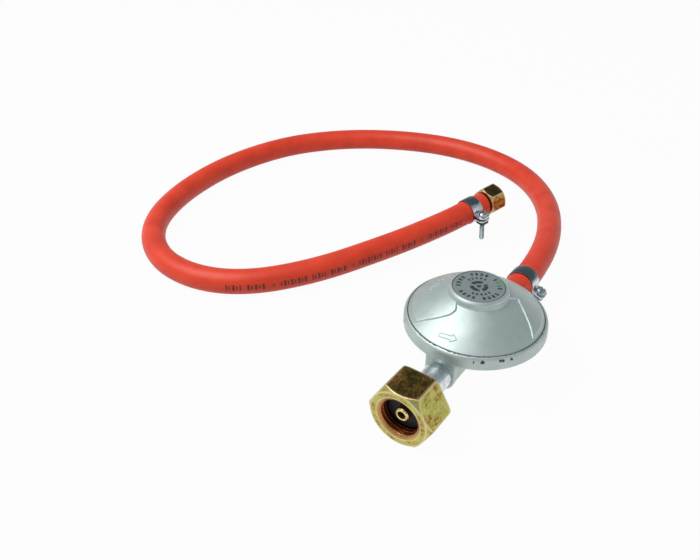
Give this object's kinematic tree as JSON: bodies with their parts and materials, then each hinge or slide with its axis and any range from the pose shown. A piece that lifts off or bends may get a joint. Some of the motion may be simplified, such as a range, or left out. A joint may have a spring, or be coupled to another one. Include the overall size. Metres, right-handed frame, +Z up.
{
  "type": "gas pressure regulator with hose",
  "caption": "Low-pressure disc regulator with a hexagon union nut at its inlet and a looped rubber hose that ends in a swivel nut.",
  "frame": {"origin": "on the surface under the middle of the regulator, hose left out: below the point on the flow axis half way between the union nut's mouth and the end of the outlet barb", "axes": "+X along the flow axis from inlet to outlet, +Z up through the disc"},
  "size_m": [0.2858, 0.2916, 0.047],
  "materials": {
    "zinc_casting": "die-cast zinc with a silver-grey lacquer, satin",
    "zinc_casting_barb": "die-cast zinc, satin",
    "label_grey": "printed grey disc",
    "zinc_plated_steel": "bright zinc plating",
    "zinc_plated_screw": "bright zinc plating",
    "clamp_band": "rolled steel strip",
    "spring_steel": "oiled spring steel",
    "brass": "turned brass",
    "sintered_bronze": "sintered bronze",
    "yellow_plated_steel": "yellow passivated zinc plating on turned steel",
    "yellow_plated_swivel": "yellow passivated zinc plating on turned steel",
    "black_rubber": "moulded nitrile rubber",
    "hose_rubber": "smooth orange-red rubber cover"
  },
  "bodies": {
    "regulator": {"lower_body": "zinc_casting", "cover": "zinc_casting", "label_cap": "label_grey", "main_spring": "spring_steel", "diaphragm": "black_rubber", "lever_pin": "spring_steel", "valve_seat": "brass", "inlet_stem": "zinc_plated_steel", "inlet_seal": "black_rubber", "inlet_nozzle": "brass", "inlet_filter": "sintered_bronze", "outlet_barb": "zinc_casting_barb", "hose": "hose_rubber", "outlet_clamp_band": "clamp_band", "outlet_clamp_nut": "zinc_plated_screw", "end_clamp_band": "clamp_band", "end_clamp_nut": "zinc_plated_screw", "hose_tail": "brass"},
    "union_nut": {"union_nut": "yellow_plated_steel"},
    "swivel_nut": {"swivel_nut": "yellow_plated_swivel"},
    "adjusting_screw": {"adjusting_screw": "zinc_plated_steel"},
    "outlet_clamp_screw": {"outlet_clamp_screw": "zinc_plated_screw"},
    "end_clamp_screw": {"end_clamp_screw": "zinc_plated_screw"},
    "diaphragm_centre": {"diaphragm_plate": "zinc_plated_steel", "diaphragm_stud": "brass", "plate_nut": "brass"},
    "lever": {"lever": "zinc_plated_steel"},
    "valve": {"valve_plunger": "brass", "valve_pad": "black_rubber"}
  },
  "joints": [
    {"name": "union_nut_spin", "type": "hinge", "parent": "regulator", "child": "union_nut", "pos_m": [-0.064, 0, 0.015], "axis": [1, 0, 0], "continuous": true},
    {"name": "swivel_nut_spin", "type": "hinge", "parent": "regulator", "child": "swivel_nut", "pos_m": [0.12696, 0.05577, 0.01861], "axis": [0.95, -0.2992, 0.0891], "continuous": true},
    {"name": "adjusting_screw_turn", "type": "hinge", "parent": "regulator", "child": "adjusting_screw", "pos_m": [-0.00175, 0, 0.043], "axis": [0, 0, 1], "range_deg": [-540, 540]},
    {"name": "outlet_clamp_screw_turn", "type": "hinge", "parent": "regulator", "child": "outlet_clamp_screw", "pos_m": [0.05825, -0.01062, 0.01071], "axis": [0, -0.3746, 0.9272], "range_deg": [0, 1350]},
    {"name": "end_clamp_screw_turn", "type": "hinge", "parent": "regulator", "child": "end_clamp_screw", "pos_m": [0.10614, 0.05032, 0.01697], "axis": [-0.085, 0.0268, 0.996], "range_deg": [0, 1350]},
    {"name": "diaphragm_lift", "type": "slide", "parent": "regulator", "child": "diaphragm_centre", "axis": [0, 0, 1], "range_m": [0, 0.002], "stiffness_N_per_m": 800, "deforming": ["main_spring", "diaphragm"]},
    {"name": "lever_tilt", "type": "hinge", "parent": "regulator", "child": "lever", "pos_m": [-0.01975, 0, 0.012], "axis": [0, -1, 0], "range_deg": [0, 6.4]},
    {"name": "valve_slide", "type": "slide", "parent": "regulator", "child": "valve", "axis": [-1, 0, 0], "range_m": [0, 0.0005]}
  ],
  "couplings": [
    {"joint": "lever_tilt", "follows": "diaphragm_lift", "rad_per_m": 55.556},
    {"joint": "valve_slide", "follows": "diaphragm_lift", "ratio": 0.25}
  ]
}
